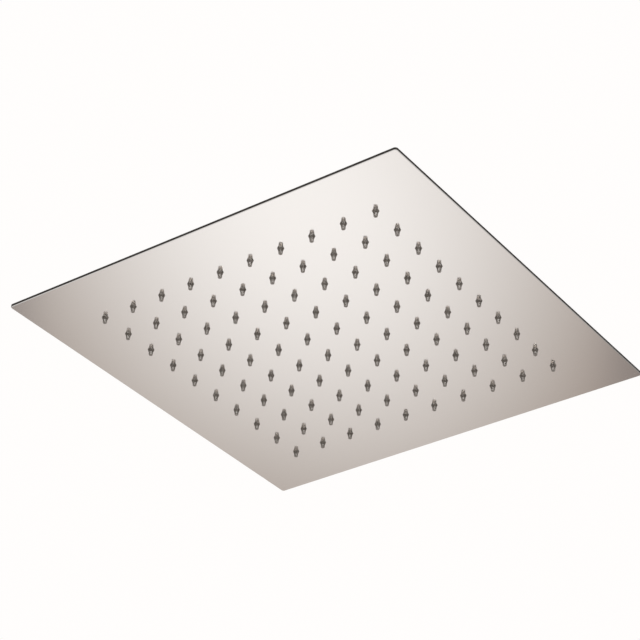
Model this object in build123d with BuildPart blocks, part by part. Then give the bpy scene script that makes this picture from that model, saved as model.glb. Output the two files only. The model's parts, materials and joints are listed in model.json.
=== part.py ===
from build123d import *
import os
from math import acos, asin, atan, cos, degrees, pi, radians, sin, sqrt, tan

# A thin square rain shower head on a swivelling ball inlet, in millimetres, with +Z up.
# The origin is the middle of the inlet's mouth, where the supply pipe screws in.

# Head: two sheets of steel, welded face to face round the edge
plate_side = 300.0
plate_corner_radius = 2.0
sheet_thickness = 1.0

# Nozzles, moulded on one soft mat and hung through holes in the face sheet
nozzles_per_side = 10
nozzle_pitch = 23.6
nozzle_length = 4.2
nozzle_root_radius = 2.05
nozzle_waist_radius = 1.52
nozzle_tip_radius = 1.28
nozzle_waist_depth = 1.9
nozzle_bore_radius = 0.5
nozzle_hole_gap = 0.1
nozzle_flats = 8
bore_flats = 6
mat_thickness = 1.5
mat_margin = 9.0

# Water chamber, a shallow pan pressed up out of the back sheet
pan_margin = 6.0
pan_rise = 7.0
pan_slope = 45.0
pan_corner_radius = 22.0
bend_radius = 3.0

# Inlet: a hexagon with a half inch pipe thread in its mouth, on a hollow ball
thread_radius = 9.316
thread_length = 12.5
thread_relief_radius = 10.7
thread_relief_length = 3.0
hexagon_across_flats = 24.0
hexagon_chamfer_slope = 30.0
hexagon_floor = 3.0
ball_radius = 10.0
ball_flat_radius = 5.3
neck_radius = 5.8
waterway_radius = 4.0

# Swivel: the head tilts this far each way about either of two square axes
tilt_limit = 15.0
swivel_clearance = 0.25
swing_gap = 1.0
lip_margin_angle = 2.0
liner_wall = 1.4
liner_foot_height = 1.0
liner_margin_angle = 3.0
lip_flare = 1.4

# Socket, welded to the pan, and the collar that screws down over it
seal_depth = 8.0
seal_lip = 0.6
seal_gap = 0.5
socket_wall = 2.0
socket_floor = 5.0
socket_rim_depth = 1.5
socket_bore_margin = 0.5
socket_flange_margin = 1.25
socket_flange_thickness = 2.0
spigot_wall = 1.8
spigot_reach = 1.0
weld_gap = 0.1
screw_gap = 0.1
collar_wall = 2.5
collar_rim_gap = 0.3
collar_foot_gap = 0.5
collar_chamfer = 1.2
grip_grooves = 36
grip_depth = 0.5
grip_land = 2.5

# Inlet gasket, the screen that lies in it and the flow regulator below
gasket_gap = 0.2
gasket_thickness = 2.5
gasket_hole_radius = 5.4
screen_radius = 6.4
screen_thickness = 0.5
screen_recess = 0.8
screen_pitch = 1.8
screen_opening = 1.3
screen_rows = 5
regulator_radius = 6.8
regulator_thickness = 2.8
regulator_gap = 0.2
regulator_slots = 6
regulator_slot_length = 2.0
regulator_slot_width = 1.0
regulator_slot_centre = 2.6

# Swivel sizes that follow: ball, liner, collar and seal share one centre
swing = degrees(acos(cos(radians(tilt_limit)) ** 2))
liner_inner_radius = ball_radius + swivel_clearance
liner_outer_radius = liner_inner_radius + liner_wall
seat_radius = liner_outer_radius + swivel_clearance
liner_top_angle = 90 - degrees(asin(neck_radius / ball_radius)) - tilt_limit - liner_margin_angle
lip_angle = 90 - degrees(asin(neck_radius / seat_radius)) - swing - lip_margin_angle
lip_radius = seat_radius * cos(radians(lip_angle))
lip_height = seat_radius * sin(radians(lip_angle))
collar_height = lip_height + lip_flare
hexagon_corner_radius = hexagon_across_flats / 2 / cos(pi / 6)
hexagon_chamfer = (hexagon_corner_radius - hexagon_across_flats / 2) * tan(radians(hexagon_chamfer_slope))
swing_drop = hexagon_across_flats / 2 * sin(radians(swing))
neck_length = (collar_height + swing_gap + swing_drop) / cos(radians(swing))

# Socket sizes that follow
seal_radius = seat_radius
seal_crown = liner_foot_height * cos(radians(tilt_limit)) - liner_outer_radius * sin(radians(tilt_limit)) - seal_gap
socket_bore_radius = sqrt(liner_inner_radius**2 - seal_depth**2) + socket_bore_margin
seal_foot_radius = socket_bore_radius + seal_lip
socket_cup_radius = seal_radius + swivel_clearance
socket_radius = socket_cup_radius + socket_wall
spigot_radius = socket_bore_radius + spigot_wall
collar_bore_radius = socket_radius + screw_gap
collar_radius = collar_bore_radius + collar_wall
socket_flange_radius = collar_radius + socket_flange_margin

# Levels, from the mouth down to the nozzle tips
gasket_z = -thread_length - thread_relief_length
regulator_pocket_radius = regulator_radius + regulator_gap
regulator_z = gasket_z - regulator_thickness - regulator_gap
hexagon_z = regulator_z - hexagon_floor
ball_z = hexagon_z - neck_length
seal_z = ball_z - seal_depth
pan_z = seal_z - socket_floor
flange_z = pan_z - pan_rise
seam_z = flange_z - sheet_thickness
face_z = seam_z - sheet_thickness
waist_z = face_z - nozzle_waist_depth
tip_z = face_z - nozzle_length
socket_flange_z = pan_z + socket_flange_thickness
collar_foot_z = socket_flange_z + collar_foot_gap
socket_rim_z = ball_z - socket_rim_depth
collar_step_z = socket_rim_z + collar_rim_gap
collar_top_z = ball_z + collar_height

# Plan sizes of the head that follow
nozzle_field = nozzle_pitch * (nozzles_per_side - 1)
nozzle_hole_radius = nozzle_root_radius + nozzle_hole_gap
mat_side = nozzle_field + 2 * mat_margin
mat_corner_radius = pan_corner_radius - pan_margin
pan_side = mat_side + 2 * pan_margin
pan_inset = sheet_thickness * tan(radians(pan_slope / 2))


def nozzle_stage(top_z, foot_z, top_radius, foot_radius):
    """One tapering length of a nozzle, round on the object and drawn with flats to keep a hundred light."""
    with BuildPart() as stage:
        with BuildSketch(Plane.XY.offset(top_z)):
            RegularPolygon(top_radius, nozzle_flats)
        extrude(amount=foot_z - top_z)
        flat_inset = (top_radius - foot_radius) * cos(pi / nozzle_flats)
        taper = degrees(atan(flat_inset / (top_z - foot_z)))
        pull = Plane(origin=(0, 0, top_z), z_dir=(0, 0, -1))
        draft(stage.faces().filter_by(Axis.Z, reverse=True), pull, taper)
    return stage.part


def pressed_form(level, slab, foot_side, corner_radius, rise, crown_round, foot_round):
    """A slab whose top lies at a level, with the pan's raised form on it."""
    with BuildPart() as form:
        with BuildSketch(Plane.XY.offset(level - slab)):
            RectangleRounded(plate_side, plate_side, plate_corner_radius)
        extrude(amount=slab)
        with BuildSketch(Plane.XY.offset(level)):
            RectangleRounded(foot_side, foot_side, corner_radius)
        extrude(amount=rise, taper=90 - pan_slope)
        crown = form.faces().sort_by(Axis.Z)[-1]
        fillet(crown.edges(), crown_round)
        shoulder = form.faces().filter_by_position(Axis.Z, level, level)[0]
        fillet(shoulder.inner_wires()[0].edges(), foot_round)
    return form.part


# Face sheet: flat, with one hole for each nozzle
with BuildPart() as face_plate:
    with BuildSketch(Plane.XY.offset(face_z)):
        RectangleRounded(plate_side, plate_side, plate_corner_radius)
        with GridLocations(nozzle_pitch, nozzle_pitch, nozzles_per_side, nozzles_per_side):
            RegularPolygon(nozzle_hole_radius, nozzle_flats, mode=Mode.SUBTRACT)
    extrude(amount=sheet_thickness)

# Back sheet: its pan is the same form inside and out, one sheet thickness apart
outside_of_pan = pressed_form(
    flange_z, sheet_thickness, pan_side, pan_corner_radius, pan_rise,
    bend_radius + sheet_thickness, bend_radius,
)
inside_of_pan = pressed_form(
    seam_z, sheet_thickness, pan_side - 2 * pan_inset, pan_corner_radius - pan_inset, pan_rise,
    bend_radius, bend_radius + sheet_thickness,
)
with BuildPart() as back_plate:
    add(outside_of_pan)
    add(inside_of_pan, mode=Mode.SUBTRACT)
    with BuildSketch(Plane.XY.offset(pan_z)):
        Circle(spigot_radius + weld_gap)
    extrude(amount=-pan_rise, mode=Mode.SUBTRACT)

# Nozzle: flared where it comes through the sheet, then a slender tube
with BuildPart() as nozzle:
    add(nozzle_stage(seam_z, waist_z, nozzle_root_radius, nozzle_waist_radius))
    add(nozzle_stage(waist_z, tip_z, nozzle_waist_radius, nozzle_tip_radius))
    with BuildSketch(Plane.XY.offset(tip_z)):
        RegularPolygon(nozzle_bore_radius, bore_flats)
    extrude(amount=seam_z - tip_z, mode=Mode.SUBTRACT)

# Nozzle mat: one soft moulding that lies on the inside of the face sheet
with BuildPart() as nozzle_mat:
    with BuildSketch(Plane.XY.offset(seam_z)):
        RectangleRounded(mat_side, mat_side, mat_corner_radius)
        with GridLocations(nozzle_pitch, nozzle_pitch, nozzles_per_side, nozzles_per_side):
            RegularPolygon(nozzle_bore_radius, bore_flats, mode=Mode.SUBTRACT)
    extrude(amount=mat_thickness)
    with GridLocations(nozzle_pitch, nozzle_pitch, nozzles_per_side, nozzles_per_side):
        add(nozzle.part)

# Socket: a turned cup with a flange on the pan and a spigot through it
with BuildPart() as swivel_socket:
    with BuildSketch(Plane.XZ):
        with BuildLine():
            Polyline(
                (socket_bore_radius, pan_z - sheet_thickness - spigot_reach),
                (spigot_radius, pan_z - sheet_thickness - spigot_reach),
                (spigot_radius, pan_z),
                (socket_flange_radius, pan_z),
                (socket_flange_radius, socket_flange_z),
                (socket_radius, socket_flange_z),
                (socket_radius, socket_rim_z),
                (socket_cup_radius, socket_rim_z),
                (socket_cup_radius, seal_z),
                (socket_bore_radius, seal_z),
                close=True,
            )
        make_face()
    revolve(axis=Axis.Z)

# Seal: a soft ring in the bottom of the cup, hollowed to the ball
with BuildPart() as ball_seal:
    with BuildSketch(Plane.XZ):
        with BuildLine():
            foot_angle = -degrees(acos(seal_foot_radius / liner_inner_radius))
            crown_angle = degrees(asin(seal_crown / liner_inner_radius))
            hollow = CenterArc((0, ball_z), liner_inner_radius, foot_angle, crown_angle - foot_angle)
            Polyline(
                hollow @ 0,
                (seal_foot_radius, seal_z),
                (seal_radius, seal_z),
                (seal_radius, ball_z + seal_crown),
                hollow @ 1,
            )
        make_face()
    revolve(axis=Axis.Z)

# Liner: a bearing shell between the ball's upper half and the collar
with BuildPart() as swivel_liner:
    with BuildSketch(Plane.XZ):
        with BuildLine():
            inner_foot = degrees(asin(liner_foot_height / liner_inner_radius))
            outer_foot = degrees(asin(liner_foot_height / liner_outer_radius))
            bore = CenterArc((0, ball_z), liner_inner_radius, inner_foot, liner_top_angle - inner_foot)
            back = CenterArc((0, ball_z), liner_outer_radius, outer_foot, liner_top_angle - outer_foot)
            Line(bore @ 0, back @ 0)
            Line(bore @ 1, back @ 1)
        make_face()
    revolve(axis=Axis.Z)

# Collar: screws over the socket and holds the ball down, with a grooved grip
with BuildPart() as collar_nut:
    with BuildSketch(Plane.XZ):
        with BuildLine():
            seat = CenterArc((0, ball_z), seat_radius, 0, lip_angle)
            Polyline(
                seat @ 1,
                (lip_radius + lip_flare, collar_top_z),
                (collar_radius - collar_chamfer, collar_top_z),
                (collar_radius, collar_top_z - collar_chamfer),
                (collar_radius, collar_foot_z),
                (collar_bore_radius, collar_foot_z),
                (collar_bore_radius, collar_step_z),
                (seat_radius, collar_step_z),
                seat @ 0,
            )
        make_face()
    revolve(axis=Axis.Z)
    with BuildSketch(Plane.XY.offset(collar_foot_z + grip_land)):
        with PolarLocations(collar_radius, grip_grooves):
            Rectangle(grip_depth * sqrt(2), grip_depth * sqrt(2), rotation=45)
    grip_height = collar_top_z - collar_chamfer - collar_foot_z - 2 * grip_land
    extrude(amount=grip_height, mode=Mode.SUBTRACT)

# Inlet: a hexagon with turned corners, a neck and a ball, bored through for the water
with BuildPart() as ball_inlet:
    with BuildSketch(Plane.XY.offset(hexagon_z)):
        RegularPolygon(hexagon_across_flats / 2, 6, major_radius=False)
    extrude(amount=-hexagon_z)
    with BuildSketch(Plane.XZ):
        with BuildLine():
            Polyline(
                (0, 0),
                (hexagon_across_flats / 2, 0),
                (hexagon_corner_radius, -hexagon_chamfer),
                (hexagon_corner_radius, hexagon_z + hexagon_chamfer),
                (hexagon_across_flats / 2, hexagon_z),
                (0, hexagon_z),
                close=True,
            )
        make_face()
    revolve(axis=Axis.Z, mode=Mode.INTERSECT)
    with BuildSketch(Plane.XZ):
        with BuildLine():
            flat_angle = -degrees(acos(ball_flat_radius / ball_radius))
            neck_angle = degrees(acos(neck_radius / ball_radius))
            ball = CenterArc((0, ball_z), ball_radius, flat_angle, neck_angle - flat_angle)
            Polyline(
                ball @ 1,
                (neck_radius, hexagon_z),
                (0, hexagon_z),
                (0, (ball @ 0).Y),
                ball @ 0,
            )
        make_face()
    revolve(axis=Axis.Z)
    with BuildSketch(Plane.XZ):
        with BuildLine():
            Polyline(
                (0, 0),
                (thread_radius, 0),
                (thread_radius, -thread_length),
                (thread_relief_radius, -thread_length),
                (thread_relief_radius, gasket_z),
                (regulator_pocket_radius, gasket_z),
                (regulator_pocket_radius, regulator_z),
                (waterway_radius, regulator_z),
                (waterway_radius, ball_z - ball_radius),
                (0, ball_z - ball_radius),
                close=True,
            )
        make_face()
    revolve(axis=Axis.Z, mode=Mode.SUBTRACT)

# Gasket: a soft washer on the thread's floor, recessed for the screen
with BuildPart() as inlet_gasket:
    with BuildSketch(Plane.XY.offset(gasket_z)):
        Circle(thread_radius - gasket_gap)
        Circle(gasket_hole_radius, mode=Mode.SUBTRACT)
    extrude(amount=gasket_thickness)
    with BuildSketch(Plane.XY.offset(gasket_z + gasket_thickness)):
        Circle(screen_radius + gasket_gap)
    extrude(amount=-screen_recess, mode=Mode.SUBTRACT)

# Screen: a disc of square meshes
with BuildPart() as filter_screen:
    with BuildSketch(Plane.XY.offset(gasket_z + gasket_thickness - screen_recess)):
        Circle(screen_radius)
        mesh_grid = GridLocations(screen_pitch, screen_pitch, screen_rows, screen_rows)
        furthest = gasket_hole_radius - screen_opening / sqrt(2)
        with Locations([place for place in mesh_grid if place.position.length < furthest]):
            Rectangle(screen_opening, screen_opening, mode=Mode.SUBTRACT)
    extrude(amount=screen_thickness)

# Flow regulator: a moulded disc in its pocket, with slots over the waterway
with BuildPart() as flow_regulator:
    with BuildSketch(Plane.XY.offset(regulator_z)):
        Circle(regulator_radius)
        with PolarLocations(regulator_slot_centre, regulator_slots):
            Rectangle(regulator_slot_length, regulator_slot_width, mode=Mode.SUBTRACT)
    extrude(amount=regulator_thickness)

face_plate.part.label = "face_plate"
back_plate.part.label = "back_plate"
nozzle_mat.part.label = "nozzle_mat"
swivel_socket.part.label = "swivel_socket"
ball_seal.part.label = "ball_seal"
swivel_liner.part.label = "swivel_liner"
collar_nut.part.label = "collar_nut"
ball_inlet.part.label = "ball_inlet"
inlet_gasket.part.label = "inlet_gasket"
filter_screen.part.label = "filter_screen"
flow_regulator.part.label = "flow_regulator"

os.makedirs("parts", exist_ok=True)
export_step(face_plate.part, "parts/face_plate.step")
export_step(back_plate.part, "parts/back_plate.step")
export_step(nozzle_mat.part, "parts/nozzle_mat.step")
export_step(swivel_socket.part, "parts/swivel_socket.step")
export_step(ball_seal.part, "parts/ball_seal.step")
export_step(swivel_liner.part, "parts/swivel_liner.step")
export_step(collar_nut.part, "parts/collar_nut.step")
export_step(ball_inlet.part, "parts/ball_inlet.step")
export_step(inlet_gasket.part, "parts/inlet_gasket.step")
export_step(filter_screen.part, "parts/filter_screen.step")
export_step(flow_regulator.part, "parts/flow_regulator.step")
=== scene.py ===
# %% [markdown]
# # A square rain shower head, seen from below
# Two sheets of polished steel, welded face to face round the edge, make a head whose rim is only two
# millimetres thick. A hundred soft nozzles hang through holes in the lower sheet, and a ball inlet on
# the back screws onto the pipe. The solids come from the CAD model and stay where they are. Blender
# adds what they leave plain: round nozzles, softened edges, the pipe thread, a woven screen, a weld and
# the finishes.

# %% Load the solids
import json
import math

import bmesh
import bpy
from mathutils import Matrix, Vector


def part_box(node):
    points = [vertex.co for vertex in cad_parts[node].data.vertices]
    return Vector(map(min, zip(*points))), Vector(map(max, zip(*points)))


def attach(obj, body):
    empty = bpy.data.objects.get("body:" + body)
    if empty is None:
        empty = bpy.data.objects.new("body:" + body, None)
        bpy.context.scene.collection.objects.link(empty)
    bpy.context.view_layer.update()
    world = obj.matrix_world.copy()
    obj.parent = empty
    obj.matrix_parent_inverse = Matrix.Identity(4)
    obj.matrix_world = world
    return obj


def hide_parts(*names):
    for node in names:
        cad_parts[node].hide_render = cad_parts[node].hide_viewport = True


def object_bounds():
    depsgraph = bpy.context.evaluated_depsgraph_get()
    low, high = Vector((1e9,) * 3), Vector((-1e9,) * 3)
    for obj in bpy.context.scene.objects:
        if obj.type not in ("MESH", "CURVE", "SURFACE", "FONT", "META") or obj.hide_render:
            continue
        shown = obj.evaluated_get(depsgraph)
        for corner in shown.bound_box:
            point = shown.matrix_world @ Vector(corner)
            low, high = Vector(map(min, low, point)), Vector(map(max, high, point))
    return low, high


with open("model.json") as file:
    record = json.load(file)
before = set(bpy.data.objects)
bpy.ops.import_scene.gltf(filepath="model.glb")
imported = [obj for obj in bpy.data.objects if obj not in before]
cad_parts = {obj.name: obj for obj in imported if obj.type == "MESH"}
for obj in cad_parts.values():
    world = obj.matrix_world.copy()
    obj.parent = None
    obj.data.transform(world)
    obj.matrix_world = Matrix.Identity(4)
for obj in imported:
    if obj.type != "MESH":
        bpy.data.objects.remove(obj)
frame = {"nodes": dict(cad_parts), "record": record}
nodes = frame["nodes"]
cad_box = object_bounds()
MM = 0.001
box_in_mm = [round(x / MM, 1) for corner in cad_box for x in corner]
print("Solids:", len(nodes), "and their box in mm:", box_in_mm)

# %% [markdown]
# ## Camera
# The photograph looks up at the head, so the camera stands lower than the face and looks past it at a
# white wall. A camera can be aimed by eye, but the square grid of nozzles gives its place, its turn and
# its lens quite exactly, so they are written as numbers here. The picture's own right and down
# directions make the turn, and the third direction is their cross product.

# %% Camera at the photograph's angle
face_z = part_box("face_plate")[0].z
face_middle = Vector((0, 0, face_z))
camera_place = face_middle + Vector((0.6824, -0.9548, -0.7430))
view_right = Vector((0.81611, 0.57761, 0.01826)).normalized()
view_down = Vector((-0.30159, 0.45264, -0.83914)).normalized()
view_ahead = view_right.cross(view_down)

camera_lens = bpy.data.cameras.new("photo_camera")
camera_lens.sensor_width = 36.0
camera_lens.lens = 118.25
camera = bpy.data.objects.new("photo_camera", camera_lens)
camera_turn = Matrix((view_right, -view_down, -view_ahead)).transposed().to_4x4()
camera.matrix_world = Matrix.Translation(camera_place) @ camera_turn
bpy.context.scene.collection.objects.link(camera)
bpy.context.scene.camera = camera
bpy.context.scene.view_settings.view_transform = "Standard"
print("The camera looks up by", round(math.degrees(math.asin(view_ahead.z)), 1), "degrees")

# %% [markdown]
# ## Shader arithmetic
# A finish is a net of nodes, and most of them are sums. Wrapping a socket in a small class lets those
# sums be written as ordinary expressions. One method adds any other node: first its settings, then its
# inputs. Two nodes come up again and again, a fade between two values and a mix of two colours, so they
# have methods of their own.

# %% A socket that can be added and multiplied
class Signal:
    """One output of a node tree. Arithmetic on it adds Math nodes."""

    def __init__(self, tree, socket=None):
        self.tree = tree
        self.socket = socket

    def node(self, kind, settings=None, inputs=None, output=0):
        """Adds a node, sets it up, feeds its inputs and returns one of its outputs."""
        made = self.tree.nodes.new(kind)
        for name, setting in (settings or {}).items():
            setattr(made, name, setting)
        for name, feed in (inputs or {}).items():
            if isinstance(feed, Signal):
                self.tree.links.new(feed.socket, made.inputs[name])
            else:
                made.inputs[name].default_value = feed
        return Signal(self.tree, made.outputs[output] if len(made.outputs) else None)

    def beside(self, name):
        """Another output of the same node."""
        return Signal(self.tree, self.socket.node.outputs[name])

    def maths(self, operation, first, second=0.0):
        return self.node("ShaderNodeMath", {"operation": operation}, {0: first, 1: second})

    def fade(self, start, end, shape="SMOOTHSTEP"):
        """Goes from 0 to 1 while this value goes from start to end."""
        ends = {"Value": self, "From Min": start, "From Max": end}
        return self.node("ShaderNodeMapRange", {"interpolation_type": shape}, ends)

    def mixed(self, low, high):
        """A colour that goes from low to high while this value goes from 0 to 1."""
        feeds = {0: self, 6: opaque(low), 7: opaque(high)}
        return self.node("ShaderNodeMix", {"data_type": "RGBA"}, feeds, output=2)

    def __add__(self, other):
        return self.maths("ADD", self, other)

    def __sub__(self, other):
        return self.maths("SUBTRACT", self, other)

    def __rsub__(self, other):
        return self.maths("SUBTRACT", other, self)

    def __mul__(self, other):
        return self.maths("MULTIPLY", self, other)

    __radd__ = __add__
    __rmul__ = __mul__


def opaque(colour):
    """A plain colour gets the fourth number that a socket needs. A signal stays as it is."""
    return colour if isinstance(colour, Signal) else (*colour, 1.0)


def empty_tree(owner):
    """Clears the nodes of a material or a world and returns a signal to add nodes with."""
    owner.use_nodes = True
    owner.node_tree.nodes.clear()
    return Signal(owner.node_tree)


def axes_of(place):
    """The three numbers of a place."""
    x = place.node("ShaderNodeSeparateXYZ", inputs={"Vector": place}, output="X")
    return x, x.beside("Y"), x.beside("Z")


def length(x, y):
    """The length of a flat vector."""
    return x.maths("SQRT", x * x + y * y)


print("Signals add, subtract, multiply, fade and mix")

# %% [markdown]
# ## White studio
# Behind the head there is only white. Making that white with lamps would wash the steel out, so the
# world has two strengths: full white for what the camera sees directly, in metal or through glass, and
# a softer light for everything that the world shines on. Plated fittings in an all white room look like
# paper, so four grey panels stand round the head, and only metal shows them.

# %% World
soft_light = (0.40, 0.395, 0.39)
white_wall = (1.0, 0.985, 0.975)
grey_panel = (0.28, 0.275, 0.27)
panels_round = 4
panel_start, panel_full = -0.3, 0.9

world = bpy.data.worlds.new("white_studio")
bpy.context.scene.world = world
air = empty_tree(world)
world_ray = air.node("ShaderNodeLightPath", output="Is Camera Ray")
mirrored_wall = world_ray.beside("Is Glossy Ray")
seen = world_ray + mirrored_wall + world_ray.beside("Is Transmission Ray")
seen = air.node("ShaderNodeClamp", inputs={"Value": seen})
seen = seen * air.maths("LESS_THAN", world_ray.beside("Diffuse Depth"), 0.5)
ahead_x, ahead_y, _ = axes_of(air.node("ShaderNodeTexCoord", output="Generated"))
around = air.maths("ARCTAN2", ahead_y, ahead_x)
panel = air.maths("SINE", around * panels_round).fade(panel_start, panel_full)
wall_colour = (panel * mirrored_wall).mixed(white_wall, grey_panel)
background = air.node("ShaderNodeBackground", inputs={"Color": seen.mixed(soft_light, wall_colour)})
air.node("ShaderNodeOutputWorld", inputs={"Surface": background})
print("World:", white_wall, "seen and", soft_light, "as light, with", panels_round, "grey panels")

# %% [markdown]
# ## Stage
# Polished steel shows its surroundings, so the surroundings are what has to be modelled. They could be
# one painted picture of a room, but a few plain panels are easier to place and to change one at a time.
# None of them is part of the head, and apart from the floor the camera never sees them: they show in
# the metal only.

# %% Stage helpers
def stage_piece(bm, name, place):
    """Makes a stage object of a bmesh."""
    mesh = bpy.data.meshes.new(name)
    bm.to_mesh(mesh)
    bm.free()
    piece = bpy.data.objects.new(name, mesh)
    piece.matrix_world = place
    bpy.context.scene.collection.objects.link(piece)
    return piece


def flat_stage(name, half_side, place):
    """A square stage panel, facing +Z of its own place."""
    bm = bmesh.new()
    bmesh.ops.create_grid(bm, x_segments=1, y_segments=1, size=half_side)
    return stage_piece(bm, name, place)


def stage_tree(piece, name):
    """Gives a stage object a new material with an empty tree."""
    material = bpy.data.materials.new(name)
    piece.data.materials.append(material)
    return empty_tree(material)


def own_place(tree):
    return tree.node("ShaderNodeTexCoord", output="Object")


def close_glow(tree, share, colour, strength=1.0):
    """Closes a material that glows by a share and is clear for the rest."""
    light = tree.node("ShaderNodeEmission", inputs={"Color": opaque(colour), "Strength": strength})
    clear = tree.node("ShaderNodeBsdfTransparent")
    shown = tree.node("ShaderNodeMixShader", inputs={0: share, 1: clear, 2: light})
    tree.node("ShaderNodeOutputMaterial", inputs={"Surface": shown})


def show_in_metal_only(piece):
    piece.visible_camera = False
    piece.visible_diffuse = False
    piece.visible_shadow = False


print("Stage helpers ready")

# %% [markdown]
# ### Floor
# The floor is pale paint, well below the head. It is so wide that it would end in a hard horizon, so
# far out it fades into the white of the wall. In the steel it is different: a pool of light under the
# head and a dark floor round it, as a lamp over a stage makes, so that the face has a gradient from
# every side.

# %% Floor
floor_drop = 1.8
floor_half = 40.0
horizon_start, horizon_full = 5.0, 22.0
pool_edge, pool_core = 7.0, 1.0
pale_grey = (0.95, 0.94, 0.93)
pool_dark, pool_bright = (0.12, 0.115, 0.11), (1.1, 1.09, 1.08)
near_glow, metal_glow = 0.45, 0.7

floor = flat_stage("floor", floor_half, Matrix.Translation((0, 0, face_z - floor_drop)))
paint = stage_tree(floor, "floor_paint")
floor_place = own_place(paint)
mottle = paint.node("ShaderNodeTexNoise", inputs={"Vector": floor_place, "Scale": 3.0})
paint_colour = mottle.mixed((0.80, 0.79, 0.78), (0.84, 0.83, 0.82))
painted = paint.node("ShaderNodeBsdfPrincipled", inputs={"Base Color": paint_colour, "Roughness": 0.7})
floor_x, floor_y, _ = axes_of(floor_place)
floor_radius = length(floor_x, floor_y)
horizon = floor_radius.fade(horizon_start, horizon_full)
pool = floor_radius.fade(pool_edge, pool_core)
floor_ray = paint.node("ShaderNodeLightPath", output="Is Camera Ray")
mirrored_floor = floor_ray.beside("Is Glossy Ray")
looked_at = floor_ray + floor_ray.beside("Is Transmission Ray")
floor_colour = horizon.mixed(pale_grey, white_wall)
pool_colour = pool.mixed(pool_dark, pool_bright)
floor_light = mirrored_floor.mixed(floor_colour, pool_colour)
floor_glow = paint.node("ShaderNodeEmission", inputs={"Color": floor_light})
glow_share = looked_at * (near_glow + (1 - near_glow) * horizon) + mirrored_floor * metal_glow
pale = paint.node("ShaderNodeMixShader", inputs={0: glow_share, 1: painted, 2: floor_glow})
paint.node("ShaderNodeOutputMaterial", inputs={"Surface": pale})
print("Floor", floor_drop, "m below the face")

# %% [markdown]
# ### Reflector
# The soft sheen of the face is the mirror image of a reflector: bright in the middle and falling off to
# a warm grey. Its place is worked out backwards. A point that the camera seems to see behind the face
# is mirrored in the face, and there the reflector has to stand. Lengths are shares of half the
# picture's width.

# %% Where the reflector stands
reflector_distance = 1.2
reflector_half = 0.9
face_distance = (face_middle - camera_place).dot(view_ahead)
half_width_ahead = camera_lens.sensor_width / 2 / camera_lens.lens
frame_half = half_width_ahead * (face_distance + reflector_distance)
spot_right, spot_down = -0.075 * frame_half, -0.422 * frame_half
spot_reach_along, spot_reach_across = 0.831 * frame_half, 0.984 * frame_half
spot_turn = -0.648


def mirrored(vector):
    """A direction as the level face mirrors it."""
    return Vector((vector.x, vector.y, -vector.z))


behind_face = camera_place + view_ahead * (face_distance + reflector_distance)
behind_face += view_right * spot_right + view_down * spot_down
spot_middle = mirrored(behind_face - face_middle) + face_middle
along = mirrored(view_right * math.cos(spot_turn) + view_down * math.sin(spot_turn))
across = mirrored(view_down * math.cos(spot_turn) - view_right * math.sin(spot_turn))
reflector_turn = Matrix((along, across, along.cross(across))).transposed().to_4x4()
reflector = flat_stage("reflector", reflector_half, Matrix.Translation(spot_middle) @ reflector_turn)
reflector.visible_camera = False
reflector.visible_shadow = False
print("Reflector at", [round(x, 2) for x in spot_middle])

# %% [markdown]
# ### Glow of the reflector
# The glow is a bell curve, wider one way than the other. Towards the left and right ends of the picture
# it turns to a cooler, darker grey, and at the rim of the panel it fades out, so that no edge shows in
# the steel.

# %% How the reflector glows
warm_grey = (0.32, 0.25, 0.205)
bright_white = (1.178, 1.159, 1.147)
far_grey = (0.19, 0.19, 0.21)
far_dimming = 0.42
far_start, far_full = 0.83, 0.99
warm_below = 0.40
clear_below, full_above = 0.18, 0.36

glow = stage_tree(reflector, "reflector_glow")
spot_x, spot_y, _ = axes_of(own_place(glow))
reach_x = spot_x * (1 / spot_reach_along)
reach_y = spot_y * (1 / spot_reach_across)
bell = glow.maths("EXPONENT", (reach_x * reach_x + reach_y * reach_y) * -0.5)
brightness = bell.fade(warm_below, 1.0, "LINEAR")
picture_x = spot_x * (math.cos(spot_turn) / frame_half) - spot_y * (math.sin(spot_turn) / frame_half)
from_centre = glow.maths("ABSOLUTE", picture_x + spot_right / frame_half)
far_end = from_centre.fade(far_start, far_full)
sheen = brightness.mixed(warm_grey, bright_white)
close_glow(glow, bell.fade(clear_below, full_above), (far_end * far_dimming).mixed(sheen, far_grey))
print("Reflector glows from", bright_white, "to", warm_grey)

# %% [markdown]
# ### Dark band
# The thin rim stands upright, so from below it mirrors what hangs high up on the camera's own side. A
# band of dark cloth there makes the rim a clear dark line. Separate cards would leave gaps between
# them, so one upright edge is spun part of the way round the head.

# %% Dark band
band_distance = 2.4
band_low, band_high = math.radians(26), math.radians(44)
band_reach, band_shift = math.radians(230), math.radians(18)
band_steps = 48
cloth_black = (0.07, 0.063, 0.057)

band_start = math.atan2(-view_ahead.y, -view_ahead.x) - band_reach / 2 + band_shift
bm = bmesh.new()
low_end = bm.verts.new((band_distance, 0, band_distance * math.tan(band_low)))
high_end = bm.verts.new((band_distance, 0, band_distance * math.tan(band_high)))
bmesh.ops.rotate(bm, verts=bm.verts, cent=(0, 0, 0), matrix=Matrix.Rotation(band_start, 3, "Z"))
upright = bm.edges.new((low_end, high_end))
bmesh.ops.spin(
    bm, geom=[low_end, high_end, upright], cent=(0, 0, 0), axis=(0, 0, 1), angle=band_reach,
    steps=band_steps,
)
bmesh.ops.translate(bm, verts=bm.verts, vec=face_middle)
dark_band = stage_piece(bm, "dark_band", Matrix.Identity(4))
show_in_metal_only(dark_band)
cloth = stage_tree(dark_band, "band_cloth")
cloth_light = cloth.node("ShaderNodeEmission", inputs={"Color": opaque(cloth_black)})
cloth.node("ShaderNodeOutputMaterial", inputs={"Surface": cloth_light})
print("Dark band", band_distance, "m out, over", round(math.degrees(band_reach)), "degrees")

# %% [markdown]
# ### Ceiling
# Seen from above, the back sheet would mirror nothing but white. A grey ceiling that fades out towards
# its edge gives it a gradient, and the fittings stand out from the sheet.

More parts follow.
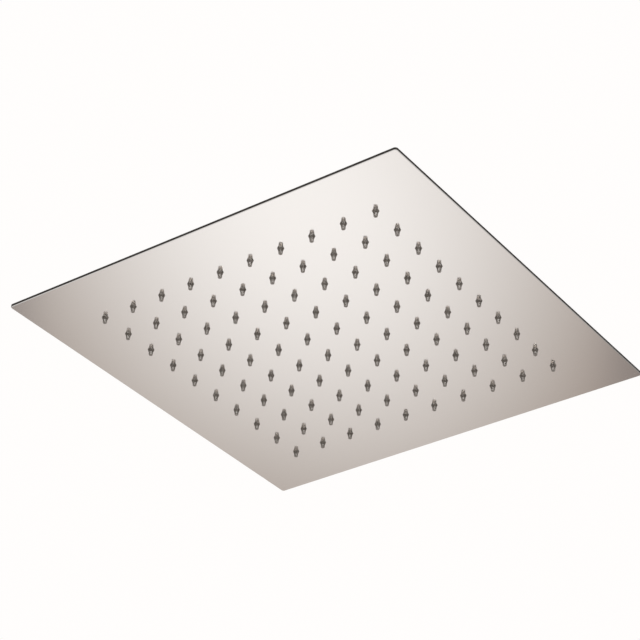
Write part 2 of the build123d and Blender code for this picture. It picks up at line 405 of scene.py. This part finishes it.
# %% Ceiling
ceiling_rise, ceiling_half = 1.6, 1.6
ceiling_edge, ceiling_core = 1.5, 0.3
ceiling_grey = (0.30, 0.30, 0.305)

ceiling = flat_stage("ceiling", ceiling_half, Matrix.Translation((0, 0, face_z + ceiling_rise)))
show_in_metal_only(ceiling)
plaster = stage_tree(ceiling, "ceiling_paint")
ceiling_x, ceiling_y, _ = axes_of(own_place(plaster))
close_glow(plaster, length(ceiling_x, ceiling_y).fade(ceiling_edge, ceiling_core), ceiling_grey)
print("Ceiling", ceiling_rise, "m above the face")

# %% [markdown]
# ### Strip cards
# The nozzles have a light stripe down the middle, and so have their mirror images in the face. A lamp
# in front would make such stripes, but the face would mirror the lamp too and be blown out from below.
# So two long cards glow only for light that two glossy surfaces have mirrored, a nozzle and the face,
# in either order.

# %% Strip cards
card_white = (1.0, 0.98, 0.96)
towards_camera = Vector((-view_ahead.x, -view_ahead.y, 0)).normalized()


def strip_card(name, out, down, width, height, strength):
    """A long card on the camera's side of the face, turned towards the middle of the face."""
    stand = face_middle + towards_camera * out - Vector((0, 0, down))
    aim = (face_middle - stand).to_track_quat("Z", "Y").to_matrix().to_4x4()
    stretch = Matrix.Diagonal((width, height, 1, 1))
    card = flat_stage(name, 0.5, Matrix.Translation(stand) @ aim @ stretch)
    show_in_metal_only(card)
    tree = stage_tree(card, name + "_glow")
    card.data.materials[0].cycles.emission_sampling = "NONE"
    glossy_depth = tree.node("ShaderNodeLightPath", output="Glossy Depth")
    mirrored_twice = tree.maths("GREATER_THAN", glossy_depth, 1.5)
    close_glow(tree, mirrored_twice, card_white, strength)
    print(name, width, "m wide")


strip_card("front_strip", out=1.55, down=0.68, width=3.0, height=0.44, strength=9.5)
strip_card("low_strip", out=1.1, down=1.18, width=2.6, height=0.60, strength=4.0)

# %% [markdown]
# ## Lamp
# One large lamp hangs over the back. It gives the fittings a soft shadow and lights the floor. Metal
# doesn't show it, because the stage already gives metal enough to show.

# %% Lamp
lamp_place = Vector((-0.4, 0.5, 1.7))
lamp_side = 1.4
lamp_power = 34.0

lamp_light = bpy.data.lights.new("top_lamp", "AREA")
lamp_light.shape = "SQUARE"
lamp_light.size = lamp_side
lamp_light.energy = lamp_power
top_lamp = bpy.data.objects.new("top_lamp", lamp_light)
lamp_aim = (face_middle - lamp_place).to_track_quat("-Z", "Y").to_matrix().to_4x4()
top_lamp.matrix_world = Matrix.Translation(lamp_place) @ lamp_aim
bpy.context.scene.collection.objects.link(top_lamp)
top_lamp.visible_camera = False
top_lamp.visible_glossy = False
print("Lamp of", lamp_power, "W")

# %% [markdown]
# ## Finishes
# Each finish is a small net of nodes on Object coordinates, so a pattern keeps its size in metres on
# every piece. Nothing new is one flat colour: polish has faint lines and cloudy patches, rubber has a
# fine tooth.

# %% Helpers for finishes
def new_finish(name):
    """A new material, its tree, and the object's own coordinates."""
    material = bpy.data.materials.new(name)
    tree = empty_tree(material)
    return material, tree, own_place(tree)


def stretched(place, scale):
    """Coordinates scaled by a different factor along each axis."""
    return place.node("ShaderNodeMapping", inputs={"Vector": place, "Scale": scale})


def noise(place, scale, detail):
    return place.node("ShaderNodeTexNoise", inputs={"Vector": place, "Scale": scale, "Detail": detail})


def relief(height, depth):
    """A normal that follows a height of 0 to 1 with a depth in metres."""
    return height.node("ShaderNodeBump", inputs={"Height": height, "Strength": 1.0, "Distance": depth})


def close_finish(tree, **sockets):
    """Feeds a Principled shader and the material's output."""
    inputs = {name.replace("_", " "): feed for name, feed in sockets.items()}
    shader = tree.node("ShaderNodeBsdfPrincipled", inputs=inputs)
    tree.node("ShaderNodeOutputMaterial", inputs={"Surface": shader})


finishes = {}
print("Finish helpers ready")

# %% [markdown]
# ### Polished steel
# The sheets are stainless steel, ground with ever finer belts and buffed until they mirror. Faint
# parallel lines of the last belt stay, and so do cloudy patches where a hand or a cloth went over it.
# Both only change the roughness by a little, so the steel keeps its smooth sheen. The cut edge of the
# sheets was never buffed and is rougher. Its near black colour, down to the narrow slope that breaks the
# face's edge, is painted shade that keeps the rim a dark line. A second material could do that, but a
# mask on the distance from the outline and on the height needs no extra slot.

# %% Polished steel
sheet_side = cad_box[1].x - cad_box[0].x
sheet_corner = 2.0 * MM
edge_break = 0.4 * MM
straight_half = sheet_side / 2 - sheet_corner
cut_start, cut_full = sheet_corner - 0.2 * MM, sheet_corner - 0.12 * MM
dark_start, dark_full = face_z + 0.7 * edge_break, face_z + 0.95 * edge_break
# Painted shade: the rim and the top of the edge slope get a near black colour, so the rim reads as a
# dark line from every side.
rim_painted_shade_grey = (0.11, 0.10, 0.092)

finishes["polished_steel"], tree, place = new_finish("polished_steel")
belt_lines = noise(stretched(place, (18.0, 2600.0, 18.0)), scale=1.0, detail=3.0)
clouds = noise(place, scale=16.0, detail=4.0)
x, y, z = axes_of(place)
past_x = tree.maths("MAXIMUM", tree.maths("ABSOLUTE", x) - straight_half, 0.0)
past_y = tree.maths("MAXIMUM", tree.maths("ABSOLUTE", y) - straight_half, 0.0)
at_outline = length(past_x, past_y).fade(cut_start, cut_full, "LINEAR")
# Mask of the cut edge: it makes the unbuffed edge rougher, and it carries the painted shade of the rim.
unbuffed_edge_painted_dark = at_outline * z.fade(dark_start, dark_full, "LINEAR")
buffed = clouds.mixed((0.79, 0.77, 0.75), (0.82, 0.80, 0.78))
close_finish(
    tree,
    Base_Color=unbuffed_edge_painted_dark.mixed(buffed, rim_painted_shade_grey),
    Metallic=1.0,
    Roughness=0.10 + 0.05 * clouds + 0.03 * belt_lines + 0.25 * unbuffed_edge_painted_dark,
    Normal=relief(belt_lines, 0.0004 * MM),
)
print("Polished steel, with a dark cut edge from", edge_break / MM, "mm above the face")

# %% [markdown]
# ### Grey silicone
# The nozzles are moulded from soft, warm grey silicone that gives when lime is rubbed off. The mould
# leaves it smooth enough for a clear stripe of light. The colour is painted dark at the foot as the
# shade of its hole, and paler towards the thin tip as light that comes through it. Scattering under
# the surface could show the light, but a colour that follows the height is simpler.

# %% Grey silicone
# Painted shade at the foot and painted light towards the tip, both following the height.
pale_start, pale_full = face_z - 0.6 * MM, face_z - 4.2 * MM
shaded_foot_grey, lit_tip_grey = (0.228, 0.199, 0.175), (0.46, 0.417, 0.381)

finishes["grey_silicone"], tree, place = new_finish("grey_silicone")
tone = noise(place, scale=220.0, detail=3.0)
tooth = noise(place, scale=5200.0, detail=2.0)
_, _, z = axes_of(place)
painted_foot_to_tip = z.fade(pale_start, pale_full, "LINEAR")
uneven = tone * 0.16 - 0.08
close_finish(
    tree,
    Base_Color=(painted_foot_to_tip * painted_foot_to_tip + uneven).mixed(shaded_foot_grey, lit_tip_grey),
    Roughness=0.14 + 0.07 * tooth,
    Normal=relief(tooth, 0.006 * MM),
)
print("Grey silicone, from", shaded_foot_grey, "to", lit_tip_grey)

# %% [markdown]
# ### Plated brass
# The inlet and the collar are brass under bright plating. Plating is smoother than ground steel and a
# little bluer. A very slight swell of the surface makes its reflections wander, as on a real plated
# nut.

# %% Plated brass
finishes["plated_brass"], tree, place = new_finish("plated_brass")
swell = noise(place, scale=260.0, detail=2.0)
wiped = noise(place, scale=60.0, detail=4.0)
close_finish(
    tree,
    Base_Color=wiped.mixed((0.69, 0.695, 0.70), (0.75, 0.75, 0.75)),
    Metallic=1.0,
    Roughness=0.05 + 0.07 * wiped,
    Normal=relief(swell, 0.01 * MM),
)
print("Plated brass")

# %% [markdown]
# ### Turned steel
# The socket comes from a lathe, so its lines run round the axis. The distance from the axis plus the
# height makes one number that rises across every turned face, flat or upright, and a sine of it gives
# the grooves that the tool leaves.

# %% Turned steel
tool_feed = 0.22 * MM

finishes["turned_steel"], tree, place = new_finish("turned_steel")
x, y, z = axes_of(place)
grooves = tree.maths("SINE", (length(x, y) + z) * (2 * math.pi / tool_feed)) * 0.5 + 0.5
stain = noise(place, scale=140.0, detail=4.0)
close_finish(
    tree,
    Base_Color=stain.mixed((0.66, 0.65, 0.64), (0.75, 0.74, 0.73)),
    Metallic=1.0,
    Roughness=0.22 + 0.06 * grooves + 0.08 * stain,
    Normal=relief(grooves, 0.004 * MM),
)
print("Turned steel, one groove every", tool_feed / MM, "mm")

# %% [markdown]
# ### White plastic
# The liner and the regulator are moulded from white acetal, a hard and slippery plastic. It flows into
# the mould in slightly different whites, and the mould's wall leaves a fine grain.

# %% White plastic
finishes["white_plastic"], tree, place = new_finish("white_plastic")
flow = noise(place, scale=180.0, detail=3.0)
grain = noise(place, scale=3600.0, detail=2.0)
close_finish(
    tree,
    Base_Color=flow.mixed((0.83, 0.83, 0.81), (0.88, 0.88, 0.86)),
    Roughness=0.34 + 0.10 * grain,
    Normal=relief(grain, 0.005 * MM),
)
print("White plastic")

# %% [markdown]
# ### Black rubber
# The seal and the gasket are black rubber, matt and faintly dusty. Black that is truly black hides
# every shape, so the dust is also what lets the eye see how the ring is rounded.

# %% Black rubber
finishes["black_rubber"], tree, place = new_finish("black_rubber")
dust = noise(place, scale=320.0, detail=4.0)
grit = noise(place, scale=4200.0, detail=3.0)
close_finish(
    tree,
    Base_Color=dust.mixed((0.028, 0.028, 0.03), (0.055, 0.055, 0.055)),
    Roughness=0.56 + 0.16 * grit,
    Normal=relief(grit, 0.012 * MM),
)
print("Black rubber")

# %% [markdown]
# ## Making pieces
# A piece is built in a bmesh, turned into an object at the origin and hung on a body of the frame, so
# it moves with that body. Its faces are shaded smooth, with sharp edges where two faces meet at a clear
# angle.

# %% From bmesh to piece
same_place = 0.001 * MM


def add_piece(bm, name, slot, sharp_angle=38):
    """Makes an object of a bmesh, at the origin, with the finish of a slot."""
    mesh = bpy.data.meshes.new(name)
    bm.to_mesh(mesh)
    bm.free()
    mesh.shade_smooth()
    mesh.set_sharp_from_angle(angle=math.radians(sharp_angle))
    mesh.materials.append(finishes[slot])
    piece = bpy.data.objects.new(name, mesh)
    bpy.context.scene.collection.objects.link(piece)
    print(name, "has", len(mesh.polygons), "faces")
    return piece


def keep_flat(piece):
    """Lets large faces settle the normals: flat areas stay flat and only the bevels look round."""
    weighted = piece.modifiers.new("weighted_normals", "WEIGHTED_NORMAL")
    weighted.weight = 100
    weighted.keep_sharp = True


def everything(bm):
    return bm.verts[:] + bm.edges[:] + bm.faces[:]


def stepped(bm, step, count):
    """Repeats everything in a bmesh along a step: a spin of no angle only moves on."""
    bmesh.ops.spin(
        bm, geom=everything(bm), cent=(0, 0, 0), axis=(0, 0, 1), dvec=step, angle=0, steps=count - 1,
        use_duplicate=True,
    )


def drawn(bm, outline):
    """An open line through (radius, height) points in metres, in the XZ plane."""
    points = [bm.verts.new((radius, 0, height)) for radius, height in outline]
    return points + [bm.edges.new(pair) for pair in zip(points, points[1:])]


def turned(bm, outline, steps):
    """Spins an outline once round the Z axis."""
    bmesh.ops.spin(
        bm, geom=drawn(bm, outline), cent=(0, 0, 0), axis=(0, 0, 1), angle=2 * math.pi, steps=steps,
        use_merge=True,
    )
    bmesh.ops.remove_doubles(bm, verts=bm.verts, dist=same_place)
    bmesh.ops.recalc_face_normals(bm, faces=bm.faces)


def rounded_outline(bm, side, corner, height):
    """The edges of a square with round corners."""
    before = set(bm.faces)
    square = bmesh.ops.create_grid(bm, x_segments=1, y_segments=1, size=side / 2)
    bmesh.ops.translate(bm, verts=square["verts"], vec=(0, 0, height))
    bmesh.ops.bevel(
        bm, geom=square["verts"], offset=corner, affect="VERTICES", segments=8, profile=0.5, material=-1,
    )
    filled = [face for face in bm.faces if face not in before]
    edges = [edge for face in filled for edge in face.edges]
    bmesh.ops.delete(bm, geom=filled, context="FACES_ONLY")
    return edges


print("Piece helpers ready")

# %% [markdown]
# ## Nozzles
# Each nozzle is a soft tube with a flared foot, a small lip that grips the sheet, a blunt tip and a
# bore. On the object all hundred are one moulding with the mat behind the sheet. One tube is turned
# from its outline and repeated on the grid. It has few faces, because it is repeated so often and
# smooth shading rounds it.

# %% One nozzle, a hundred times
nozzle_pitch = 23.6 * MM
nozzles_per_side = 10
grid_reach = (nozzles_per_side - 1) / 2 * nozzle_pitch
mat_low, mat_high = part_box("nozzle_mat")
seam_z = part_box("face_plate")[1].z
root_z, lip_z, tip_z, bore_z = seam_z + 0.5 * MM, face_z - 0.05 * MM, mat_low.z, face_z - 2.6 * MM
root_radius, lip_radius, tip_radius, bore_radius = 2.05 * MM, 2.2 * MM, 1.28 * MM, 0.5 * MM
upper_waist = (1.55 * MM, face_z - 1.8 * MM)
lower_waist = (1.50 * MM, face_z - 2.0 * MM)
tip_inset, tip_rise = 0.1 * MM, 0.12 * MM
nozzle_outline = [
    (0, root_z),
    (root_radius, root_z),
    (lip_radius, lip_z),
    upper_waist,
    lower_waist,
    (tip_radius, tip_z + tip_rise),
    (tip_radius - tip_inset, tip_z),
    (bore_radius, tip_z),
    (0, bore_z),
]
bm = bmesh.new()
turned(bm, nozzle_outline, steps=12)
bmesh.ops.translate(bm, verts=bm.verts, vec=(-grid_reach, -grid_reach, 0))
stepped(bm, (nozzle_pitch, 0, 0), nozzles_per_side)
stepped(bm, (0, nozzle_pitch, 0), nozzles_per_side)
print("Nozzles:", nozzles_per_side**2, "of", round((face_z - tip_z) / MM, 2), "mm")

# %% [markdown]
# ### The mat behind them
# The mat is a flat sheet with round corners, pressed against the inside of the face. Two outlines are
# filled and bridged. It stays in the same mesh as the nozzles, because it is the same moulding.

# %% The mat behind them
mat_corner = 16.0 * MM
mat_side = mat_high.x - mat_low.x
low_edges = rounded_outline(bm, mat_side, mat_corner, seam_z)
high_edges = rounded_outline(bm, mat_side, mat_corner, mat_high.z)
bmesh.ops.edgeloop_fill(bm, edges=low_edges)
bmesh.ops.edgeloop_fill(bm, edges=high_edges)
bmesh.ops.bridge_loops(bm, edges=low_edges + high_edges)
bmesh.ops.recalc_face_normals(bm, faces=bm.faces)
nozzle_field = add_piece(bm, "nozzle_field", "grey_silicone", sharp_angle=60)
keep_flat(nozzle_field)
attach(nozzle_field, "head")
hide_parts("nozzle_mat")

# %% [markdown]
# ## Face sheet
# The face sheet is cut to size, and its lower edge is broken with a narrow slope that is polished with
# the face. The solid has a sharp edge and flat-sided holes, so a new sheet stands for it. Its rim is a
# stack of outlines, each bridged to the next.

# %% Rim of the face sheet
seam_round = 0.12 * MM
rim_steps = (
    (edge_break, face_z),
    (0, face_z + edge_break),
    (0, seam_z - seam_round),
    (seam_round, seam_z),
)
bm = bmesh.new()
rim = []
for inset, height in rim_steps:
    rim.append(rounded_outline(bm, sheet_side - 2 * inset, sheet_corner - inset, height))
for lower, upper in zip(rim, rim[1:]):
    bmesh.ops.bridge_loops(bm, edges=lower + upper)
print("Rim of", len(rim[0]), "edges a loop")

# %% [markdown]
# ### Holes and flat sides
# A hundred round holes are punched, and their lower edge is brushed. A Boolean could cut them, but
# three circles a hole, bridged into its wall, give the brushed edge as well. The two flat sides are
# then filled between the rim and the circles.

# %% Holes and flat sides
hole_radius = 2.15 * MM
hole_round = 0.1 * MM
hole_steps = (
    (hole_radius + hole_round, face_z),
    (hole_radius, face_z + hole_round),
    (hole_radius, seam_z),
)


def circle_edges(bm, middle, radius):
    circle = bmesh.ops.create_circle(
        bm, cap_ends=False, radius=radius, segments=24, matrix=Matrix.Translation(middle),
    )
    return list({edge for vert in circle["verts"] for edge in vert.link_edges})


low_circles, high_circles = [], []
for column in range(nozzles_per_side):
    for row in range(nozzles_per_side):
        hole_x, hole_y = column * nozzle_pitch - grid_reach, row * nozzle_pitch - grid_reach
        wall = []
        for radius, height in hole_steps:
            wall.append(circle_edges(bm, Vector((hole_x, hole_y, height)), radius))
        for lower, upper in zip(wall, wall[1:]):
            bmesh.ops.bridge_loops(bm, edges=lower + upper)
        low_circles.extend(wall[0])
        high_circles.extend(wall[-1])
bmesh.ops.triangle_fill(bm, use_beauty=True, edges=rim[0] + low_circles)
bmesh.ops.triangle_fill(bm, use_beauty=True, edges=rim[-1] + high_circles)
bmesh.ops.recalc_face_normals(bm, faces=bm.faces)
face_sheet = add_piece(bm, "face_sheet", "polished_steel", sharp_angle=16)
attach(face_sheet, "head")
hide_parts("face_plate")

# %% [markdown]
# ## Softened edges
# The back sheet, the socket and the collar are cut and turned, and a file then takes the sharpness off
# their edges. A thin highlight along an edge is what makes metal look solid. The solids have knife
# edges, so copies stand for them: the loose triangles are merged, flat areas become single faces again,
# and a narrow bevel goes along every edge that turns by more than thirty degrees.

# %% Softened copies of solids
flat_angle, edge_angle = math.radians(0.5), math.radians(30)


def merged_copy(node):
    """A bmesh of a solid, with its loose triangles joined."""
    bm = bmesh.new()
    bm.from_mesh(nodes[node].data)
    bmesh.ops.remove_doubles(bm, verts=bm.verts, dist=same_place)
    return bm


def soften(bm, width):
    """Bevels the sharp edges of a bmesh."""
    bmesh.ops.dissolve_limit(bm, angle_limit=flat_angle, verts=bm.verts, edges=bm.edges)
    sharp = [edge for edge in bm.edges if edge.is_manifold and edge.calc_face_angle() > edge_angle]
    bmesh.ops.bevel(
        bm, geom=sharp, offset=width, affect="EDGES", segments=2, profile=0.5, material=-1,
        clamp_overlap=True,
    )


for node, slot, width in (
    ("back_plate", "polished_steel", 0.12 * MM),
    ("swivel_socket", "turned_steel", 0.2 * MM),
    ("collar_nut", "plated_brass", 0.07 * MM),
):
    bm = merged_copy(node)
    soften(bm, width)
    soft_copy = add_piece(bm, "soft_" + node, slot, sharp_angle=32)
    keep_flat(soft_copy)
    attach(soft_copy, "head")
    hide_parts(node)

# %% [markdown]
# ## Pipe thread
# The inlet's mouth has a half inch pipe thread, cut with a tap: fourteen turns to the inch, flanks at
# 55 degrees. The solid has a plain bore there, as wide as the crests. A thread is a profile that goes
# round and along at the same time, and spin does that when each of its steps also moves along the axis.
# The groove fades out at both ends, so that two level cuts leave circles, which can be bridged to the
# rest of the inlet.

# %% Thread
crest_radius, groove_radius = 9.316 * MM, 10.478 * MM
thread_pitch = 25.4 / 14 * MM
thread_top, thread_bottom = -0.85 * MM, -12.3 * MM
fade_length = 1.2 * MM
turns, steps_a_turn = 9, 48
turns_below = 1.2
thread_start = thread_bottom - turns_below * thread_pitch
crest_end, groove_start = 0.14 * thread_pitch, 0.43 * thread_pitch
thread_outline = [
    (crest_radius, thread_start),
    (crest_radius, thread_start + crest_end),
    (groove_radius, thread_start + groove_start),
    (groove_radius, thread_start + thread_pitch - groove_start),
    (crest_radius, thread_start + thread_pitch - crest_end),
    (crest_radius, thread_start + thread_pitch),
]
thread = bmesh.new()
bmesh.ops.spin(
    thread, geom=drawn(thread, thread_outline), cent=(0, 0, 0), axis=(0, 0, 1),
    dvec=(0, 0, thread_pitch / steps_a_turn), angle=2 * math.pi * turns, steps=turns * steps_a_turn,
)
bmesh.ops.remove_doubles(thread, verts=thread.verts, dist=same_place)
for vert in thread.verts:
    depth_share = min(vert.co.z - thread_bottom, thread_top - vert.co.z) / fade_length
    depth_share = min(max(depth_share, 0), 1)
    radius = vert.co.xy.length
    vert.co.xy *= (crest_radius + (radius - crest_radius) * depth_share) / radius
for height, outwards in ((thread_top, 1), (thread_bottom, -1)):
    bmesh.ops.bisect_plane(
        thread, geom=everything(thread), dist=0.1 * same_place, plane_co=(0, 0, height),
        plane_no=(0, 0, outwards), clear_outer=True,
    )
thread_mesh = bpy.data.meshes.new("thread")
thread.to_mesh(thread_mesh)
thread.free()
print("Thread of", round(thread_pitch / MM, 3), "mm pitch,", len(thread_mesh.polygons), "faces")

# %% [markdown]
# ### Inlet with its thread
# The inlet is one turned piece: hexagon, neck and ball. A softened copy of the solid loses its plain
# bore, its mouth is widened into a lead-in that guides the pipe, and the thread is bridged in between.

# %% Inlet with its thread
relief_top = -12.5 * MM
level = 0.01 * MM
bore_margin = 0.05 * MM
inlet_bevel = 0.1 * MM
lead_in = 1.085


def open_edges(bm, height):
    """The open edges of a bmesh at one height."""
    return [
        edge for edge in bm.edges
        if edge.is_boundary and all(abs(vert.co.z - height) < level for vert in edge.verts)
    ]


def on_bore(vert):
    return abs(vert.co.xy.length - crest_radius) < bore_margin and vert.co.z > relief_top - level


bm = merged_copy("ball_inlet")
bore_wall = [face for face in bm.faces if all(on_bore(vert) for vert in face.verts)]
wall_faces = len(bore_wall)
bmesh.ops.delete(bm, geom=bore_wall, context="FACES")
soften(bm, inlet_bevel)
mouth_verts = list({vert for edge in open_edges(bm, 0) for vert in edge.verts})
bmesh.ops.scale(bm, verts=mouth_verts, vec=(lead_in, lead_in, 1))
bm.from_mesh(thread_mesh)
bpy.data.meshes.remove(thread_mesh)
bmesh.ops.bridge_loops(bm, edges=open_edges(bm, 0) + open_edges(bm, thread_top))
bmesh.ops.bridge_loops(bm, edges=open_edges(bm, relief_top) + open_edges(bm, thread_bottom))
bmesh.ops.recalc_face_normals(bm, faces=bm.faces)
still_open = sum(edge.is_boundary for edge in bm.edges)
print("Open edges left:", still_open, "after", wall_faces, "wall faces went")
threaded_inlet = add_piece(bm, "threaded_inlet", "plated_brass", sharp_angle=32)
keep_flat(threaded_inlet)
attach(threaded_inlet, "inlet")
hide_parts("ball_inlet")

# %% [markdown]
# ## Woven screen
# A disc of woven wire in the gasket keeps grit out. In a plain weave each wire goes over one neighbour
# and under the next, so it is a wave, and the next wire is the same wave upside down. One pair of wires
# is made by stepping a six-sided ring along, the pair is repeated across the disc, and a quarter turn
# of the whole set, upside down, gives the wires that cross it.

# %% Wires of the screen
screen_low, screen_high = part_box("filter_screen")
screen_z = (screen_low.z + screen_high.z) / 2
wire_radius, wire_pitch, wire_wave = 0.11 * MM, 0.8 * MM, 0.12 * MM
wire_pairs, wire_sides = 7, 6
wire_reach = wire_pairs * wire_pitch


def doubled(bm):
    """Copies everything in a bmesh, upside down, and returns the copy's vertices."""
    copy = bmesh.ops.duplicate(bm, geom=everything(bm))["geom"]
    verts = [item for item in copy if isinstance(item, bmesh.types.BMVert)]
    bmesh.ops.scale(bm, verts=verts, vec=(1, 1, -1))
    return verts


bm = bmesh.new()
upright_ring = Matrix.Translation((-wire_reach, 0, 0)) @ Matrix.Rotation(math.pi / 2, 4, "Y")
bmesh.ops.create_circle(
    bm, cap_ends=False, radius=wire_radius, segments=wire_sides, matrix=upright_ring,
)
bmesh.ops.spin(
    bm, geom=everything(bm), cent=(0, 0, 0), axis=(0, 0, 1), dvec=(wire_pitch / 2, 0, 0), angle=0,
    steps=4 * wire_pairs,
)
for vert in bm.verts:
    vert.co.z += wire_wave * math.cos(math.pi * vert.co.x / wire_pitch)
bmesh.ops.translate(bm, verts=doubled(bm), vec=(0, wire_pitch, 0))
bmesh.ops.translate(bm, verts=bm.verts, vec=(0, wire_pitch - wire_reach, 0))
stepped(bm, (0, 2 * wire_pitch, 0), wire_pairs)
bmesh.ops.rotate(bm, verts=doubled(bm), cent=(0, 0, 0), matrix=Matrix.Rotation(math.pi / 2, 3, "Z"))
print("Wires:", 4 * wire_pairs)

# %% [markdown]
# ### Rim of the screen
# A pressed ring holds the ends of the wires. The wires are cut off where the ring hides them, their
# ends are closed, and the ring is turned from its section.

# %% Rim of the screen
rim_inside, rim_outside = 5.5 * MM, screen_high.x
rim_slope = 0.1 * MM
shoulder = 0.6 * (screen_high.z - screen_low.z) / 2
held = (rim_inside + rim_outside) / 2
beyond = [face for face in bm.faces if face.calc_center_median().xy.length > held]
bmesh.ops.delete(bm, geom=beyond, context="FACES")
bmesh.ops.holes_fill(bm, edges=bm.edges, sides=wire_sides)
bmesh.ops.translate(bm, verts=bm.verts, vec=(0, 0, screen_z))
rim_section = [
    (rim_inside, screen_z - shoulder),
    (rim_inside, screen_z + shoulder),
    (rim_inside + rim_slope, screen_high.z),
    (rim_outside - rim_slope, screen_high.z),
    (rim_outside, screen_z + shoulder),
    (rim_outside, screen_z - shoulder),
    (rim_outside - rim_slope, screen_low.z),
    (rim_inside + rim_slope, screen_low.z),
    (rim_inside, screen_z - shoulder),
]
turned(bm, rim_section, steps=48)
woven_screen = add_piece(bm, "woven_screen", "turned_steel")
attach(woven_screen, "inlet")
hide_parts("filter_screen")

# %% [markdown]
# ## Weld
# The socket's flange is welded to the back sheet all round, in short overlapping pulses that leave a
# rippled bead. A bump could draw the ripples, but they show on the bead's outline too. So the bead is
# one turned ring with three steps to a pulse, and a wave lifts its outer side.

# %% Weld bead
pan_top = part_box("back_plate")[1].z
flange_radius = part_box("swivel_socket")[1].x
pulses = 84
ripple_out, ripple_up = 0.006, 0.1 * MM
bead_section = [(-0.3, -0.1), (1.0, -0.1), (0.9, 0.35), (0.55, 0.75), (-0.3, 0.95), (-0.3, -0.1)]
bead_outline = [(flange_radius + out * MM, pan_top + up * MM) for out, up in bead_section]
bm = bmesh.new()
turned(bm, bead_outline, steps=3 * pulses)
for vert in bm.verts:
    ripple = 0.5 + 0.5 * math.cos(pulses * math.atan2(vert.co.y, vert.co.x))
    outside = vert.co.xy.length > flange_radius
    if outside and vert.co.z > pan_top:
        vert.co.xy *= 1 + ripple_out * ripple
        vert.co.z += ripple_up * ripple
weld_bead = add_piece(bm, "weld_bead", "turned_steel", sharp_angle=80)
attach(weld_bead, "head")

# %% [markdown]
# ## Finishes on the solids
# The other solids already have the right shape. The record says which slot each one takes, so each gets
# that slot's finish and nothing else about it changes.

# %% Finishes on the solids
for part in frame["record"]["subparts"]:
    solid = nodes[part["node"]]
    for material_slot in solid.material_slots:
        material_slot.material = finishes[part["material_slot"]]
    print(part["node"], "is", part["material_slot"])
